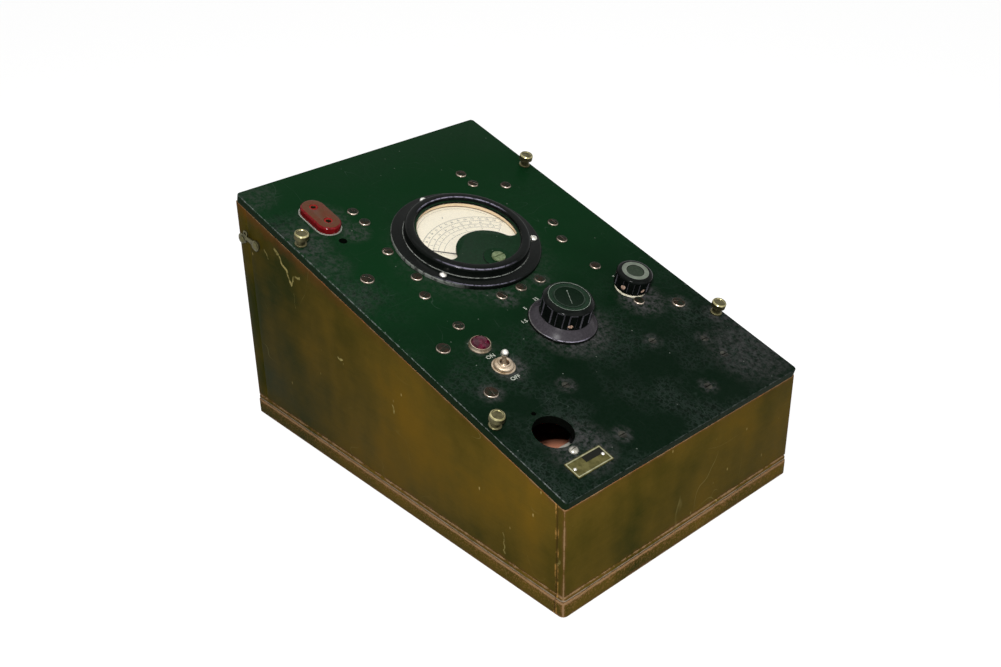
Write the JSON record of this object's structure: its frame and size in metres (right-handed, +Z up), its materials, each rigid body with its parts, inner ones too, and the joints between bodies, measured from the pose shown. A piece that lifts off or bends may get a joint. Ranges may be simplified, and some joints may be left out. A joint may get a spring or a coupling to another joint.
{
  "type": "valve voltmeter",
  "caption": "Bench voltmeter: wooden cabinet with a sloping black panel, round panel meter, fluted range knob, zero knob, toggle switch, pilot lamp and input jacks.",
  "frame": {"origin": "on the surface that the feet stand on, under the middle of the cabinet", "axes": "+X to the right as a person reads the panel, +Y to the back, where the cabinet is tall, and +Z up"},
  "size_m": [0.2428, 0.3505, 0.1938],
  "materials": {
    "cabinet_wood": "oiled hardwood, worn",
    "inner_wood": "bare softwood",
    "feet_rubber": "matte",
    "aged_brass": "dull, worn",
    "nameplate_brass": "blank, olive patina",
    "crackle_paint": "black crackle, dusty",
    "blackened_steel": "black screws",
    "plated_steel": "dull nickel plate",
    "black_moulding": "black phenolic, satin",
    "corrector_plastic": "pale green",
    "knob_inlay": "dull grey",
    "clear_glass": "clear",
    "dial_paint": "matte cream, black marks",
    "movement_iron": "machined",
    "spring_bronze": "bright",
    "pointer_metal": "black",
    "brown_board": "brown phenolic board",
    "red_moulding": "red brown phenolic, satin",
    "jewel_red": "faceted, deep purple red",
    "coil_paper": "waxed paper wrap",
    "valve_glass": "smoked by getter"
  },
  "bodies": {
    "cabinet": {"base_board": "cabinet_wood", "base_bead": "cabinet_wood", "side_left": "cabinet_wood", "side_right": "cabinet_wood", "front_board": "cabinet_wood", "back_board": "cabinet_wood", "corner_blocks": "inner_wood", "cabinet_screws": "aged_brass", "rubber_feet": "feet_rubber", "thumb_inserts": "aged_brass", "catch_pins": "aged_brass", "front_panel": "crackle_paint", "panel_screws": "blackened_steel", "countersunk_screws": "plated_steel", "meter_cover": "black_moulding", "meter_glass": "clear_glass", "dial_plate": "dial_paint", "meter_case": "black_moulding", "meter_screws": "plated_steel", "meter_magnet": "movement_iron", "meter_core": "movement_iron", "meter_spring": "spring_bronze", "meter_terminals": "aged_brass", "range_bushing": "plated_steel", "range_switch": "brown_board", "zero_bushing": "plated_steel", "rheostat": "brown_board", "toggle_bushing": "aged_brass", "toggle_body": "brown_board", "lamp_holder": "aged_brass", "pilot_bulb": "clear_glass", "jack_plate": "red_moulding", "input_jacks": "aged_brass", "inlet_fixings": "plated_steel", "nameplate": "nameplate_brass", "nameplate_rivets": "aged_brass", "transformer_core": "movement_iron", "transformer_coil": "coil_paper", "chassis_deck": "plated_steel", "valves": "valve_glass", "capacitors": "plated_steel", "component_boards": "brown_board", "panel_brackets": "plated_steel"},
    "range_switch_shaft": {"range_knob": "black_moulding", "range_knob_screw": "aged_brass", "range_shaft": "plated_steel"},
    "zero_control_shaft": {"zero_knob": "black_moulding", "zero_knob_inlay": "knob_inlay", "zero_knob_screws": "aged_brass", "zero_shaft": "plated_steel"},
    "power_lever": {"toggle_lever": "plated_steel"},
    "meter_pointer": {"pointer": "pointer_metal"},
    "pointer_corrector": {"zero_corrector": "corrector_plastic"},
    "lamp_jewel": {"pilot_jewel": "jewel_red"},
    "left_hook": {"catch_hook_left": "aged_brass"},
    "right_hook": {"catch_hook_right": "aged_brass"},
    "thumb_rear_left": {"thumb_screw_rear_left": "aged_brass"},
    "thumb_rear_right": {"thumb_screw_rear_right": "aged_brass"},
    "thumb_front_left": {"thumb_screw_front_left": "aged_brass"},
    "thumb_front_right": {"thumb_screw_front_right": "aged_brass"}
  },
  "joints": [
    {"name": "range_knob_turn", "type": "hinge", "parent": "cabinet", "child": "range_switch_shaft", "pos_m": [0.0005, -0.05404, 0.12861], "axis": [0, -0.2773, 0.9608], "range_deg": [-30, 90]},
    {"name": "zero_knob_turn", "type": "hinge", "parent": "cabinet", "child": "zero_control_shaft", "pos_m": [0.074, -0.05212, 0.12917], "axis": [0, -0.2773, 0.9608], "range_deg": [-140, 140]},
    {"name": "power_lever_throw", "type": "hinge", "parent": "cabinet", "child": "power_lever", "pos_m": [-0.0686, -0.06689, 0.12553], "axis": [1, 0, 0], "range_deg": [0, 18]},
    {"name": "pointer_swing", "type": "hinge", "parent": "cabinet", "child": "meter_pointer", "pos_m": [0, 0.01888, 0.14966], "axis": [0, -0.2773, 0.9608], "range_deg": [-98, 0], "stiffness_Nm_per_rad": 0.0005},
    {"name": "pointer_corrector_turn", "type": "hinge", "parent": "cabinet", "child": "pointer_corrector", "pos_m": [0, 0.01437, 0.14836], "axis": [0, -0.2773, 0.9608], "range_deg": [-30, 30]},
    {"name": "lamp_jewel_unscrew", "type": "hinge", "parent": "cabinet", "child": "lamp_jewel", "pos_m": [-0.069, -0.04367, 0.13161], "axis": [0, -0.2773, 0.9608], "continuous": true},
    {"name": "left_hook_lift", "type": "hinge", "parent": "cabinet", "child": "left_hook", "pos_m": [-0.1175, 0.14995, 0.1585], "axis": [1, 0, 0], "range_deg": [0, 100]},
    {"name": "right_hook_lift", "type": "hinge", "parent": "cabinet", "child": "right_hook", "pos_m": [0.1175, 0.14995, 0.1585], "axis": [1, 0, 0], "range_deg": [0, 100]},
    {"name": "thumb_rear_left_turn", "type": "hinge", "parent": "cabinet", "child": "thumb_rear_left", "pos_m": [-0.11115, 0.10078, 0.1733], "axis": [0, -0.2773, 0.9608], "continuous": true},
    {"name": "thumb_rear_right_turn", "type": "hinge", "parent": "cabinet", "child": "thumb_rear_right", "pos_m": [0.11115, 0.10078, 0.1733], "axis": [0, -0.2773, 0.9608], "continuous": true},
    {"name": "thumb_front_left_turn", "type": "hinge", "parent": "cabinet", "child": "thumb_front_left", "pos_m": [-0.11115, -0.10433, 0.1141], "axis": [0, -0.2773, 0.9608], "continuous": true},
    {"name": "thumb_front_right_turn", "type": "hinge", "parent": "cabinet", "child": "thumb_front_right", "pos_m": [0.11115, -0.10433, 0.1141], "axis": [0, -0.2773, 0.9608], "continuous": true}
  ]
}
